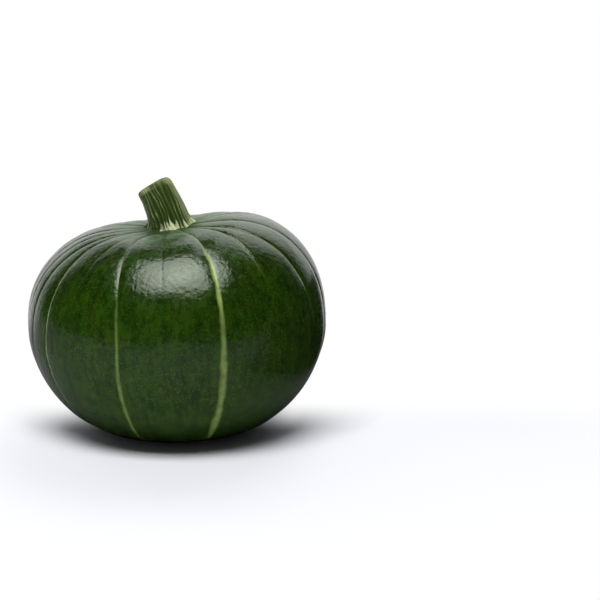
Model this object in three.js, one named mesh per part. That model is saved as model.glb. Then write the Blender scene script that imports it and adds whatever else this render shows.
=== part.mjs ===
// A whole kabocha squash, as picked: one solid fruit and the cut stem that stands on its crown.
// Millimetres, +Z up. The squash rests on z = 0 and the viewer of the front stands on the -Y side.
// Bearings are in degrees round the upright axis, from the front (-Y) towards the right (+X).
// Latitudes run from -90 at the blossom end, under the squash, through 0 at its widest to 90 at the crown.
import * as THREE from "three";

// The body's driving sizes
const BODY_RADIUS = 80;
const CROWN_HEIGHT = 60.2;
const BASE_DEPTH = 71.9;
const UPPER_FULLNESS = 2.32;
const LOWER_FULLNESS = 1.8;
const RIGHT_SHOULDER_RISE = 0.151;
const SIDE_SHOULDER_RISE = 0.079;
const CROWN_SHIFT = -3.8;

// The crown's hollow round the stem, and the base, flattened and dimpled at the blossom end
const CROWN_HOLLOW = { depth: 7.2, power: 5 };
const BASE_FLATTENING = { depth: 15.5, power: 3.9 };
const BLOSSOM_DIMPLE = { depth: 3.4, radius: 19 };
const REST_DEPTH = 56.25;

// The grooves that the front shows, left to right, and those of the back, which the front view hides.
// A groove stands at its bearing on the equator and has moved by its drift at DRIFT_LATITUDE, and it
// drifts no further above DRIFT_END.
// It is at full depth near the crown and is gone below its end latitude.
const FRONT_GROOVES = [
  { bearing: -82, drift: -2, depth: 1.0, end: -60 },
  { bearing: -76, drift: 3, depth: 0.8, end: -10 },
  { bearing: -69, drift: 5, depth: 1.1, end: -30 },
  { bearing: -56, drift: -1, depth: 1.6, end: -90 },
  { bearing: -42, drift: 0, depth: 0.4, end: 20 },
  { bearing: -19, drift: -8, depth: 0.9, end: -90 },
  { bearing: -2, drift: 0, depth: 0.8, end: -25 },
  { bearing: 20.5, drift: 4, depth: 1.0, end: -90 },
  { bearing: 44, drift: 2, depth: 1.0, end: 22 },
  { bearing: 67, drift: -9, depth: 1.3, end: 0 },
  { bearing: 84, drift: -7, depth: 1.3, end: -50 },
];
const BACK_GROOVES = {
  count: 10, from: 101, to: 259, sway: 3.2, swayTurn: 2.4, drift: 4, driftTurn: 1.7,
  depth: 1.15, end: -75, shortEvery: 3, shortDepth: 0.7, shortEnd: 10,
};
const DRIFT_LATITUDE = 60;
const DRIFT_END = 72;
const FADE_SPAN = 30;

// A groove's cross-section, which narrows towards the crown and is shallow at the base
const GROOVE_HALF_WIDTH = 3.4;
const LIP_DISTANCE = 2.4;
const NARROWING = 0.6;
const CALM_CROWN = 0.25;
const BASE_GROOVE_SHARE = 0.45;
const SHALLOW_LATITUDE = -60;
const FULL_LATITUDE = 50;

// The stem: a ribbed, five-angled stalk that flares into feet on the crown and is cut off at the top
const STEM_RISE = new THREE.Vector3(-8.6, 4.8, 22.7);
const STEM_BOW = new THREE.Vector3(0.6, -0.3, 1.0);
const STEM_RADII = [
  [0, 13.3], [0.05, 12.3], [0.11, 11.4], [0.19, 10.8], [0.3, 10.4], [0.44, 10.1],
  [0.58, 9.8], [0.72, 9.5], [0.85, 9.2], [0.94, 8.9], [0.98, 8.3], [1, 7.4],
];
const STEM_RIBS = 22;
const RIB_HEIGHT = 0.45;
const STEM_ANGLES = 5;
const ANGLE_HEIGHT = 0.5;
const ANGLE_TURN = 0.35;
const FOOT_SCALLOP = 0.8;
const SCALLOP_TURN = -0.06;
const SCALLOP_TOP = 0.16;
const FOOT_TOP = 0.38;
const CUT_HOLLOW = 0.7;
const STEM_GAP = 0.35;

// Mesh fineness, and the least reach that a width is worked out at
const SMALLEST_REACH = 0.01;
const SETTLING_ROUNDS = 6;
const LATITUDE_STEPS = 40;
const STATIONS_BETWEEN_LIPS = 2;
const UNDERSIDE_RINGS = [0.36, 0.7];
const CUT_RINGS = [0.55];

const SKIN_MATERIAL = new THREE.MeshStandardMaterial({ color: 0x26420f, roughness: 0.3, metalness: 0 });
const STEM_MATERIAL = new THREE.MeshStandardMaterial({ color: 0x5c6b34, roughness: 0.8, metalness: 0 });

const degrees = THREE.MathUtils.degToRad;
const blend = THREE.MathUtils.lerp;
const ease = THREE.MathUtils.smoothstep;

function allGrooves() {
  const grooves = [...FRONT_GROOVES];
  const back = BACK_GROOVES;
  for (let index = 0; index < back.count; index += 1) {
    const even = blend(back.from, back.to, index / (back.count - 1));
    const short = index % back.shortEvery === 1;
    grooves.push({
      bearing: even + back.sway * Math.sin(back.swayTurn * index),
      drift: back.drift * Math.cos(back.driftTurn * index),
      depth: short ? back.shortDepth : back.depth,
      end: short ? back.shortEnd : back.end,
    });
  }
  return grooves;
}

const GROOVES = allGrooves();

function grooveBearing(groove, latitude) {
  const above = THREE.MathUtils.clamp(latitude, 0, DRIFT_END);
  return groove.bearing + groove.drift * (above / DRIFT_LATITUDE) ** 2;
}

// How far out from the axis a latitude lies, as a share of the body's radius
function reach(latitude) {
  const fullness = latitude >= 0 ? UPPER_FULLNESS : LOWER_FULLNESS;
  return Math.max(Math.cos(degrees(latitude)), 0) ** (2 / fullness);
}

// The smooth body without its grooves, measured from the middle of its widest level
function smoothBody(latitude, bearing) {
  const share = reach(latitude);
  const rise = Math.abs(Math.sin(degrees(latitude)));
  const angle = degrees(bearing);
  const x = BODY_RADIUS * share * Math.sin(angle);
  const y = -BODY_RADIUS * share * Math.cos(angle);
  if (latitude >= 0) {
    const tilt = RIGHT_SHOULDER_RISE * share * Math.sin(angle);
    const oval = SIDE_SHOULDER_RISE * share * Math.cos(2 * angle);
    const dome = CROWN_HEIGHT * rise ** (2 / UPPER_FULLNESS) * (1 + tilt - oval);
    const hollow = CROWN_HOLLOW.depth * (1 - share ** 2) ** CROWN_HOLLOW.power;
    return new THREE.Vector3(x + CROWN_SHIFT * rise ** 2, y, dome - hollow);
  }
  const bowl = -BASE_DEPTH * rise ** (2 / LOWER_FULLNESS);
  const flattening = BASE_FLATTENING.depth * (1 - share ** 2) ** BASE_FLATTENING.power;
  const inDimple = Math.min((BODY_RADIUS * share) / BLOSSOM_DIMPLE.radius, 1);
  const dimple = BLOSSOM_DIMPLE.depth * (1 - inDimple ** 2) ** 2;
  return new THREE.Vector3(x, y, bowl + flattening + dimple);
}

// The depth of the grooves at a place on the skin
function grooveDepth(latitude, bearing) {
  const share = Math.max(reach(latitude), SMALLEST_REACH);
  const radius = BODY_RADIUS * share;
  const halfWidth = GROOVE_HALF_WIDTH * share ** NARROWING;
  const upright = blend(BASE_GROOVE_SHARE, 1, ease(latitude, SHALLOW_LATITUDE, FULL_LATITUDE));
  const level = upright * ease(share, 0, CALM_CROWN);
  let depth = 0;
  for (const groove of GROOVES) {
    const turn = degrees(bearing - grooveBearing(groove, latitude));
    const around = Math.abs(Math.atan2(Math.sin(turn), Math.cos(turn))) * radius;
    const fade = ease(latitude, groove.end, groove.end + FADE_SPAN);
    depth += groove.depth * level * fade * Math.exp(-around / halfWidth);
  }
  return depth;
}

// The skin of the finished fruit: the grooves are pressed in towards the middle, and the base is flat
// where it rests
function skinPoint(latitude, bearing) {
  const point = smoothBody(latitude, bearing);
  point.multiplyScalar(1 - grooveDepth(latitude, bearing) / point.length());
  point.z = Math.max(point.z, -REST_DEPTH) + REST_DEPTH;
  return point;
}

// The bearings of one ring's stations: each groove, its two lips and the lobe to the next groove
function stationBearings(latitude) {
  const lines = GROOVES.map((groove) => grooveBearing(groove, latitude)).sort((a, b) => a - b);
  const radius = BODY_RADIUS * Math.max(reach(latitude), SMALLEST_REACH);
  const stations = [];
  lines.forEach((line, index) => {
    const next = index + 1 < lines.length ? lines[index + 1] : lines[0] + 360;
    const gap = next - line;
    const lip = Math.min(THREE.MathUtils.radToDeg(LIP_DISTANCE / radius), gap / 4);
    stations.push(line);
    for (let step = 0; step <= STATIONS_BETWEEN_LIPS + 1; step += 1) {
      stations.push(blend(line + lip, next - lip, step / (STATIONS_BETWEEN_LIPS + 1)));
    }
  });
  return stations;
}

// A closed solid from rings of equal length between a lowest and a highest point, its faces pointing out.
// The rings run anticlockwise, seen from above.
function closedSkin(lowest, rings, highest) {
  const sides = rings[0].length;
  const points = [lowest, ...rings.flat(), highest];
  const last = points.length - 1;
  const faces = [];
  for (let side = 0; side < sides; side += 1) {
    const next = (side + 1) % sides;
    faces.push(0, 1 + next, 1 + side);
    for (let ring = 0; ring + 1 < rings.length; ring += 1) {
      const low = 1 + ring * sides;
      const high = low + sides;
      faces.push(low + side, low + next, high + next);
      faces.push(low + side, high + next, high + side);
    }
    const top = 1 + (rings.length - 1) * sides;
    faces.push(top + side, top + next, last);
  }
  const geometry = new THREE.BufferGeometry().setFromPoints(points);
  geometry.setIndex(faces);
  geometry.computeVertexNormals();
  return geometry;
}

function fruitGeometry() {
  const rings = [];
  for (let step = 1; step < LATITUDE_STEPS; step += 1) {
    const latitude = -90 + (180 * step) / LATITUDE_STEPS;
    rings.push(stationBearings(latitude).map((bearing) => skinPoint(latitude, bearing)));
  }
  return closedSkin(skinPoint(-90, 0), rings, skinPoint(90, 0));
}

// The height of the crown's skin over a place near the axis
function crownHeight(x, y) {
  let rise = 1;
  let share = 0;
  let angle = 0;
  for (let round = 0; round < SETTLING_ROUNDS; round += 1) {
    const across = x - CROWN_SHIFT * rise ** 2;
    share = Math.hypot(across, y) / BODY_RADIUS;
    angle = Math.atan2(across, -y);
    rise = Math.sqrt(1 - share ** UPPER_FULLNESS);
  }
  const latitude = THREE.MathUtils.radToDeg(Math.acos(share ** (UPPER_FULLNESS / 2)));
  return skinPoint(latitude, THREE.MathUtils.radToDeg(angle)).z;
}

// One ring of the stem: where it stands along the stalk, and how far out, as a share of the full radius.
// Its lower rings follow the crown and its upper ones lie square to the stalk.
function stemRing(axis, along, radius, share) {
  const centre = axis.getPoint(along);
  const direction = axis.getTangent(along);
  const right = new THREE.Vector3(1, 0, 0).addScaledVector(direction, -direction.x).normalize();
  const back = new THREE.Vector3().crossVectors(direction, right);
  const onCrown = 1 - ease(along, 0, FOOT_TOP);
  const length = axis.getLength();
  const ring = [];
  for (let side = 0; side < 2 * STEM_RIBS; side += 1) {
    const turn = (Math.PI * side) / STEM_RIBS;
    const rib = side % 2 === 0 ? RIB_HEIGHT : -RIB_HEIGHT;
    const ridge = ANGLE_HEIGHT * Math.cos(STEM_ANGLES * (turn - ANGLE_TURN));
    const scallop = FOOT_SCALLOP * Math.cos(2 * STEM_ANGLES * (turn - SCALLOP_TURN));
    const foot = scallop * (1 - ease(along, 0, SCALLOP_TOP));
    const out = share * (radius + rib + ridge + foot);
    const point = centre.clone();
    point.addScaledVector(right, out * Math.cos(turn));
    point.addScaledVector(back, out * Math.sin(turn));
    const lifted = crownHeight(point.x, point.y) + STEM_GAP + along * length;
    point.z = blend(point.z, lifted, onCrown);
    ring.push(point);
  }
  return ring;
}

function stemGeometry() {
  const foot = new THREE.Vector3(CROWN_SHIFT, 0, crownHeight(CROWN_SHIFT, 0) + STEM_GAP);
  const middle = foot.clone().addScaledVector(STEM_RISE, 0.5).add(STEM_BOW);
  const axis = new THREE.QuadraticBezierCurve3(foot, middle, foot.clone().add(STEM_RISE));
  const rings = [];
  const [, footRadius] = STEM_RADII[0];
  for (const share of UNDERSIDE_RINGS) {
    rings.push(stemRing(axis, 0, footRadius, share));
  }
  for (const [along, radius] of STEM_RADII) {
    rings.push(stemRing(axis, along, radius, 1));
  }
  const [, cutRadius] = STEM_RADII.at(-1);
  const inward = axis.getTangent(1).multiplyScalar(-CUT_HOLLOW);
  for (const share of CUT_RINGS) {
    const ring = stemRing(axis, 1, cutRadius, share);
    rings.push(ring.map((point) => point.addScaledVector(inward, 1 - share)));
  }
  return closedSkin(foot, rings, axis.getPoint(1).add(inward));
}

const fruit = new THREE.Mesh(fruitGeometry(), SKIN_MATERIAL);
fruit.name = "fruit";
const stem = new THREE.Mesh(stemGeometry(), STEM_MATERIAL);
stem.name = "stem";

// The squash stands with the middle of its outline over the origin
const squash = new THREE.Group();
squash.add(fruit, stem);
const outline = new THREE.Box3().setFromObject(squash).getCenter(new THREE.Vector3());
squash.position.set(-outline.x, -outline.y, 0);

export default squash;
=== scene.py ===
"""A whole kabocha squash, as picked: a ribbed, glossy fruit and its cut stalk, on a pale floor."""
import math

import bpy
from bpy.props import FloatProperty, FloatVectorProperty, IntProperty, PointerProperty
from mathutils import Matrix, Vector


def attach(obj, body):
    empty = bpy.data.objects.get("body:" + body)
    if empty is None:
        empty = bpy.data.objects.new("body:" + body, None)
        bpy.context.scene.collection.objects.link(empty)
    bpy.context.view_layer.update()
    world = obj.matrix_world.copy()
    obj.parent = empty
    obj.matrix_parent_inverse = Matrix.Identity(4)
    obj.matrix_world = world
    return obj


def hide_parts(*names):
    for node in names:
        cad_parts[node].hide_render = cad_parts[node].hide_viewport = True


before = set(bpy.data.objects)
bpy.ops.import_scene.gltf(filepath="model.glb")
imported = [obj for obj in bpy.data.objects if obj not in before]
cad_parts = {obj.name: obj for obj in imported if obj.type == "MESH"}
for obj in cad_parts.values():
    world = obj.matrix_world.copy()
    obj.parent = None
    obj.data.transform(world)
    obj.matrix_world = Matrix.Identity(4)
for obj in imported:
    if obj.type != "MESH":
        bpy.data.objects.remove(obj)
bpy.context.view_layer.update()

bl_info = {
    "name": "Kabocha squash",
    "version": (1, 0, 0),
    "blender": (4, 5, 0),
    "location": "3D View > Sidebar > Squash",
    "description": "Grows a ribbed squash with its cut stalk and sets it on a pale floor",
    "category": "Add Mesh",
}

MM = 0.001
BODY = "root"
FRUIT_NODE = "fruit"
STEM_NODE = "stem"
FRUIT_PIECE = "squash_fruit"
STALK_PIECE = "squash_stalk"

# The grooves that the front shows, from left to right. Bearings are in degrees round the upright axis,
# from the front (-Y) towards the right (+X), and latitudes run from -90 at the base to 90 at the crown.
# A groove stands at its bearing on the equator and has moved by its drift at DRIFT_LATITUDE. Below its
# end latitude it is gone. pale is the strength of its pale stripe on the lower half and
# pale_high on the shoulder, and the stripe's width and side step are in millimetres.
GROOVE_FIELDS = ("bearing", "drift", "depth", "end", "pale", "pale_high", "pale_width", "pale_step")
FRONT_GROOVES = [
    (-82, -2, 1.0, -60, 0.30, 0.30, 0.6, 0.5),
    (-76, 3, 0.8, -10, 0.25, 0.25, 0.6, 0.5),
    (-69, 5, 1.1, -30, 0.35, 0.35, 0.6, 0.6),
    (-56, -1, 1.1, -90, 0.50, 0.40, 0.8, 0.9),
    (-42, 0, 0.4, 20, 0.05, 0.05, 0.6, 0.0),
    (-19, -8, 0.9, -90, 0.26, 0.12, 1.1, -0.5),
    (-2, 0, 0.32, -25, 0.00, 0.00, 0.6, 0.0),
    (20.5, 4, 1.0, -90, 0.42, 1.00, 1.8, -0.1),
    (44, 2, 1.0, 22, 0.20, 0.20, 0.8, -0.6),
    (67, -9, 1.3, 0, 0.45, 0.45, 0.8, -0.8),
    (84, -7, 1.3, -50, 0.45, 0.45, 0.8, -0.8),
]

# The back's grooves, which follow a rule: every third one is short and has no pale stripe
BACK_COUNT = 10
BACK_FROM, BACK_TO = 101, 259
BACK_SWAY, BACK_SWAY_TURN = 3.2, 2.4
BACK_DRIFT, BACK_DRIFT_TURN = 4, 1.7
BACK_LONG = {"depth": 1.15, "end": -75, "pale": 0.6, "pale_high": 0.5}
BACK_SHORT = {"depth": 0.7, "end": 10, "pale": 0.1, "pale_high": 0.1}
BACK_SHORT_EVERY = 3
BACK_PALE_WIDTH = 0.9
BACK_PALE_STEP = 0.5

# The latitudes at which a groove has moved by its drift, moves no further, is still shallow and has its
# full depth, and the span over which it fades in above its end
DRIFT_LATITUDE = 60
DRIFT_END = 72
SHALLOW_LATITUDE = -60
FULL_LATITUDE = 50
FADE_SPAN = 30

# How far from its groove a stripe reaches, the latitudes between which it turns to its upper strength,
# and the share of it that fades towards the crown
STRIPE_REACH = 5 * MM
STRIPE_TURN = (14, 28)
CROWN_FADE = 0.62
CROWN_FADE_LATITUDES = (44, 62)

# The least reach that a width is worked out at, the gap that is closed at seams and poles, and the
# height from which rays look down for the crown
SMALLEST_REACH = 0.01
SEAM_GAP = 1e-6
RAY_START = 0.3

# The pattern of the rind. A scale is how many waves of noise fit in a metre, a sway is how far noise
# shifts an edge, and a pair is where an edge begins and ends, or the least and the most. Latitudes are
# in degrees, and ranges are distances from the axis. Streaks, and the fibres of the stalk, are noise
# scaled to the radius and drawn out upwards by a length.
RIND_PATCHES = [
    {"Size": 14 * MM, "Contrast": 0.35},
    {"Size": 9 * MM, "Contrast": 0.4},
    {"Size": 3.2 * MM, "Contrast": 0.4},
]
STREAK_LENGTH = 400
STREAK_SCALE = 26
STREAK_LEVELS = (0.35, 0.65)
FLECK_SCALE = 800
FLECK_LEVELS = (0.5, 0.75)
FLECK_SHARE = 0.3
DULL_LATITUDES = (20, 50)
DULL_RANGE = (24 * MM, 50 * MM)
DULL_SWAY = 10 * MM
DULL_ROUGHNESS = 0.28
# The ring round the stalk that is painted pale grey-green: partly a dull waxy film, partly a painted
# reflection of the bright room
BLOOM_REFLECTION_RANGE = (15 * MM, 24 * MM)
BLOOM_REFLECTION_SWAY = 2 * MM
BLOOM_REFLECTION_GROOVE = 1.6 * MM
BLOOM_REFLECTION_SHARES = (0.36, 0.58)
EDGE_SCALE = 400
EDGE_SWAY = 0.4 * MM
WANDER_SCALE = 90
WANDER_SWAY = 1.0 * MM
WIDE_LATITUDES = (-12, 12)
WIDE_SHARE = 1.5
STRIPE_WIDTHS = (0.3, 1.7)
STRIPE_SOFTNESS = (0.1, 1.0)
BREAK_SCALE = 130
BREAK_LEVELS = (0.35, 0.6)
BREAK_SHARES = (0.72, 1.05)
SCAR_LATITUDES = (-60, -50)
SCAR_RANGE = (4 * MM, 8 * MM)
SCAR_SCALE = 300
SCAR_SWAY = 4 * MM
SCAR_ROUGHNESS = 0.5
RIND_ROUGHNESS = (0.15, 0.24)
RIND_GRAIN = 2.4 * MM
RIND_RELIEF = 0.2 * MM

# The pattern of the stalk. Names with UP are shares of its height, those with SIDE run from -1 to 1,
# from left to right or from front to back, and levels are those of the ribs' pattern.
STALK_PATCHES = [
    {"Size": 6 * MM, "Contrast": 0.4},
    {"Size": 0.9 * MM, "Contrast": 0.5},
]
FIBRE_LENGTH = 8
FIBRE_SCALE = 14
CREST_LEVELS = (0.1, 0.95)
# The painted shade low on the stalk: where the ribs darken, and how much of them is left at the foot
PAINTED_SHADE_UP = (0.1, 0.6)
PAINTED_SHADE_LOW = 0.6
DRY_LEVELS = (0.75, 1.15)
DRY_SHARES = (0.15, 0.9)
# Where the stalk's right edge is painted pale: a painted sheen
PAINTED_SHEEN_SIDE = (0.78, 0.98)
FRONT_SIDE = (-0.99, -0.85)
FOOT_UP = (0.02, 0.13)
FOOT_LEVELS = (0.22, 0.66)
FOOT_LEFT_SIDE = (-0.7, -0.2)
FOOT_RIGHT_SIDE = (0.3, 0.7)
RIM_UP = (0.91, 0.97)
RIM_SHARES = (0.05, 0.6)
STALK_ROUGHNESS = (0.36, 0.55)
STALK_GRAIN = 0.7 * MM
STALK_RELIEF = 0.3 * MM

# The stalk's shape: the steps of its way, how uneven, how sharp and how strong the ribs are, the level
# of their pattern that lies on the radius, how far up the feet reach, and their turn in radians
AXIS_STEPS = 24
RIB_SWAY_SCALE = 1.6
RIB_UNEVEN_SCALE = 1.5
RIB_SHARPNESS = 1.2
RIB_SHARES = (0.35, 1.25)
RIB_MIDDLE = 0.4
FEET_UP = 0.16
FEET_TURN = 0.06

# The floor. Pairs are metres from its middle, to the side, to the back or all round, but MIRROR_WAY is
# the part of the way that goes to the back.
FLOOR_LEVEL = -0.1 * MM
FLOOR_SIDES = 96
SHADE_RIGHT = (0.06, 0.13)
SHADE_BACK = (-0.2, -0.05)
SHADE_SHARE = 0.9
NEAR_ROUND = (0.06, 0.15)
NEAR_SHARE = 0.35
BOUNCE_RIGHT = (0.02, 0.12)
BOUNCE_LESS = 0.9
BOUNCE_ROUND = (0.065, 0.1)
GLOW_BACK = (0.3, 1.4)
MIRROR_WAY = (0.35, 0.9)
MIRROR_ROUND = (0.1, 0.4)
MIRROR_GLOW = 0.8
BESIDE_BACK = (-0.015, 0.045)
BESIDE_SIDE = (0.035, 0.065)
FADE_ROUND = (0.12, 0.32)

# The room. Pairs are parts of a direction of length 1, to the right, to the back or up, and its least
# level part keeps the divisions finite.
BACKDROP_BACK = (0.5, 0.9)
BACKDROP_TOP = (0.56, 0.67)
TOP_RIGHT = (-0.2, 0.05)
TOP_RISE = 0.26
LOW_UP = (0.08, 0.26)
LOW_SHARE = 0.65
CROWN_UP = (0.3, 0.5)
CROWN_RIGHT = (-0.25, 0.1)
CROWN_SHARES = (0.7, 1.35)
ROOM_RIGHT = (0.1, 0.6)
ROOM_LESS = 0.7
LEAST_LEVEL = 0.001
FLAG_PAINT = (0.01, 0.012, 0.008)
SENSOR_WIDTH = 36

# The softbox's outline from above in millimetres, clockwise from its front left corner
SOFTBOX_PLAN = [
    (-400, -680), (-580, -550), (-650, -250), (-560, 250), (-480, 600), (-150, 690),
    (-20, 520), (440, -80), (640, -420), (560, -660), (250, -780), (-100, -700),
]


def paint(red, green, blue):
    """A colour given as it looks on a screen, from 0 to 255, in linear light."""
    return tuple(((value / 255 + 0.055) / 1.055) ** 2.4 for value in (red, green, blue))


def length(name, description, millimetres):
    """A property that is a length, given in millimetres and kept in metres."""
    return FloatProperty(
        name=name, description=description, default=millimetres * MM, unit="LENGTH", precision=5
    )


def number(name, description, default):
    """A property that is a plain number."""
    return FloatProperty(name=name, description=description, default=default, precision=4)


def colour(name, description, default):
    """A property that is a colour."""
    return FloatVectorProperty(
        name=name, description=description, default=default, subtype="COLOR", min=0, max=1
    )


def spot(name, description, millimetres):
    """A property that is a place or a way, given in millimetres and kept in metres."""
    return FloatVectorProperty(
        name=name, description=description, default=[value * MM for value in millimetres],
        subtype="TRANSLATION", unit="LENGTH",
    )


class FruitSizes(bpy.types.PropertyGroup):
    """The sizes of the fruit. Each property's name is also the name of the node tree's input."""

    body_radius: length("Body Radius", "Half the fruit's width", 80)
    crown_height: length("Crown Height", "From the widest level up to the dome's top", 60.2)
    base_depth: length("Base Depth", "From the widest level down to the bowl's lowest point", 71.9)
    upper_fullness: number("Upper Fullness", "2 is an ellipse, and more is squarer", 2.32)
    lower_fullness: number("Lower Fullness", "2 is an ellipse, and less is more pointed", 1.8)
    right_rise: number("Right Shoulder Rise", "How much higher the right shoulder stands", 0.151)
    side_rise: number("Side Shoulder Rise", "How much higher the side shoulders stand", 0.079)
    crown_shift: length("Crown Shift", "How far the crown stands to the right of the middle", -3.8)
    hollow_depth: length("Hollow Depth", "The depth of the crown's hollow round the stalk", 7.2)
    hollow_power: number("Hollow Power", "How narrow the crown's hollow is", 5)
    flat_depth: length("Flattening Depth", "How much the base is flattened", 15.5)
    flat_power: number("Flattening Power", "How narrow the flattened base is", 3.9)
    dimple_depth: length("Dimple Depth", "The depth of the blossom end's dimple", 3.4)
    dimple_radius: length("Dimple Radius", "The radius of the blossom end's dimple", 19)
    rest_depth: length("Rest Depth", "From the widest level down to the flat resting ring", 56.25)
    crease_width: length("Crease Half Width", "How far a groove's steep crease reaches", 0.9)
    crease_share: number("Crease Share", "The share of a groove's depth that is its crease", 0.4)
    crease_softness: length("Crease Softness", "The rounding at the bottom of a crease", 0.4)
    valley_width: length("Valley Half Width", "How far a groove's gentle valley reaches", 6)
    valley_share: number("Valley Share", "The share of a groove's depth that is its valley", 0.3)
    narrowing: number("Narrowing", "How much the grooves narrow towards the crown", 0.6)
    calm_crown: number("Calm Crown", "The share of the radius where grooves fade at the axis", 0.25)
    base_groove: number("Base Groove Share", "The share of its depth that a groove has at the base", 0.45)
    swell_height: length("Swell Height", "The height of the skin's broad unevenness", 0.8)
    swell_size: length("Swell Size", "The size of the skin's broad unevenness", 30)
    lump_height: length("Lump Height", "The height of the skin's small unevenness", 0.22)
    lump_size: length("Lump Size", "The size of the skin's small unevenness", 8)
    crowding: number("Crowding", "How much the mesh is denser at the grooves, from 0 to 1", 0.78)
    columns: IntProperty(name="Columns", description="Mesh columns in each lobe", default=22)
    rings: IntProperty(name="Rings", description="Mesh rings from base to crown", default=205)


class StalkSizes(bpy.types.PropertyGroup):
    """The sizes of the stalk. Each property's name is also the name of the node tree's input."""

    waist_radius: length("Waist Radius", "The radius above the feet", 10.2)
    taper: length("Taper", "How much the radius shrinks towards the cut", 1.2)
    flare: length("Flare", "How much wider the feet are", 3.6)
    flare_reach: number("Flare Reach", "The share of the height that the flare takes", 0.11)
    flare_right: number("Flare Right", "The share of the flare that the right side has", 0.25)
    flare_front: number("Flare Front", "The share of the flare that the front has", 0.1)
    right_spread: length("Right Spread", "How far the right side leans out at the foot", 2.4)
    right_upper: number("Right Upper", "The share of that spread that is left at the cut", 0.2)
    depth_share: number("Depth Share", "The stalk's depth as a share of its width", 0.86)
    rim_round: length("Rim Round", "The rounding at the edge of the cut", 1.3)
    rim_side: number("Rim Side", "How much rounder the cut's edge is at the right", 1.6)
    cut_hollow: length("Cut Hollow", "The depth of the cut face's hollow", 0.9)
    rib_count: number("Rib Count", "Fine ribs round the stalk", 29)
    rib_height: length("Rib Height", "The height of a fine rib", 0.3)
    rib_twist: number("Rib Twist", "How far the ribs turn up to the cut, in radians", 0.12)
    rib_wander: number("Rib Wander", "How far the ribs stray from even spacing, in radians", 0.5)
    angle_count: number("Angle Count", "Main angles round the stalk", 5)
    angle_height: length("Angle Height", "The height of a main angle", 0.5)
    angle_turn: number("Angle Turn", "Where the first main angle stands, in radians", 0.35)
    scallop: length("Scallop", "How far the feet stand out", 0.8)
    foot_top: number("Foot Top", "Below this share of the height the rings follow the crown", 0.38)
    sink: length("Sink", "How far the feet press into the skin", 0.35)
    columns: IntProperty(name="Columns", description="Mesh columns round the stalk", default=320)
    under_rows: IntProperty(name="Under Rows", description="Mesh rows under the foot", default=6)
    side_rows: IntProperty(name="Side Rows", description="Mesh rows up the side", default=80)
    cut_rows: IntProperty(name="Cut Rows", description="Mesh rows across the cut", default=26)


class StalkPath(bpy.types.PropertyGroup):
    """The stalk's way from the crown to the cut."""

    back: length("Back", "How far the stalk's foot stands behind the fruit's axis", 1.0)
    rise: spot("Rise", "From the middle of the foot to the middle of the cut", (-8.8, 3.8, 22.4))
    bow: spot("Bow", "How far the middle of the way is off the straight line", (1.9, -0.3, 1.0))


class SquashColours(bpy.types.PropertyGroup):
    """The colours of the rind and the stalk."""

    rind_dark: colour("Rind Dark", "The rind's darkest green", paint(13, 30, 1))
    rind_green: colour("Rind Green", "The rind's cool green", paint(29, 56, 3))
    rind_olive: colour("Rind Olive", "The rind's warm green", paint(36, 55, 3))
    rind_fleck: colour("Rind Fleck", "The small pale flecks of the rind", paint(56, 79, 16))
    # Partly the dull waxy film round the stalk, partly a painted reflection of the bright room
    bloom_and_painted_reflection: colour("Rind Bloom And Painted Reflection", "The dull bloom round the stalk", paint(100, 120, 96))
    gleam: colour("Gleam", "The tint of the rind's gloss", (0.93, 1.0, 0.89))
    stripe: colour("Stripe", "The pale stripes in the grooves", paint(134, 154, 84))
    scar: colour("Scar", "The dry scar of the blossom end", paint(150, 128, 88))
    stalk_valley: colour("Stalk Valley", "Between the stalk's ribs", paint(34, 48, 8))
    stalk_green: colour("Stalk Green", "The stalk's ribs", paint(72, 94, 30))
    # Also the painted sheen on the stalk's right edge
    stalk_crest_and_sheen: colour("Stalk Crest And Sheen", "The dry crests of the ribs", paint(146, 158, 106))
    stalk_foot: colour("Stalk Foot", "The pale patches at the feet", paint(206, 216, 168))
    stalk_cut: colour("Stalk Cut", "The dry cut face", paint(96, 84, 58))


class StageSettings(bpy.types.PropertyGroup):
    """The floor, the light and the camera."""

    camera_place: spot("Camera Place", "Where the camera stands", (66.0, -1092.4, 329.5))
    camera_dip: FloatProperty(
        name="Camera Dip", description="How far the camera looks down",
        default=math.radians(13.4), subtype="ANGLE",
    )
    lens: number("Lens", "The camera's focal length in millimetres, on a 36 mm frame", 125.4)
    box_place: spot("Softbox Place", "The softbox's brightest spot", (-60, -120, 1600))
    box_spread: length("Softbox Spread", "How far its bright middle reaches", 350)
    box_glow: number("Softbox Glow", "How bright the softbox's middle is", 9.3)
    box_edge: number("Softbox Edge", "The share of that brightness at its edge", 0.45)
    key_width: length("Key Width", "The key lamp, from left to right", 950)
    key_depth: length("Key Depth", "The key lamp, from front to back", 600)
    key_place: spot("Key Place", "The key lamp, which gives the shadow", (-120, -660, 1410))
    key_power: number("Key Power", "The key lamp's power in watts", 25.2)
    flag_width: length("Flag Width", "The dark flag at the right, from front to back", 155)
    flag_height: length("Flag Height", "The dark flag's height", 90)
    flag_place: spot("Flag Place", "The middle of the dark flag", (115, -2, 45))
    floor_radius: length("Floor Radius", "The floor's radius", 4000)
    floor_paint: colour("Floor", "The floor's colour", (0.80, 0.81, 0.85))
    floor_calm: number("Floor Calm", "How bright the floor is in reflections", 0.29)
    backdrop_glow: number("Backdrop Glow", "How bright the backdrop behind the squash is", 2.0)
    backdrop_calm: number("Backdrop Calm", "How bright the backdrop is in reflections", 1.36)
    floor_bounce: number("Floor Bounce", "How much more the floor lights the squash", 1.75)
    room_glow: number("Room Glow", "How bright the rest of the room is", 0.12)
    room_calm: number("Room Calm", "How bright the rest of the room is in reflections", 0.005)
    air: colour("Background", "The background that the camera sees", (1.0, 1.0, 1.0))


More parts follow.
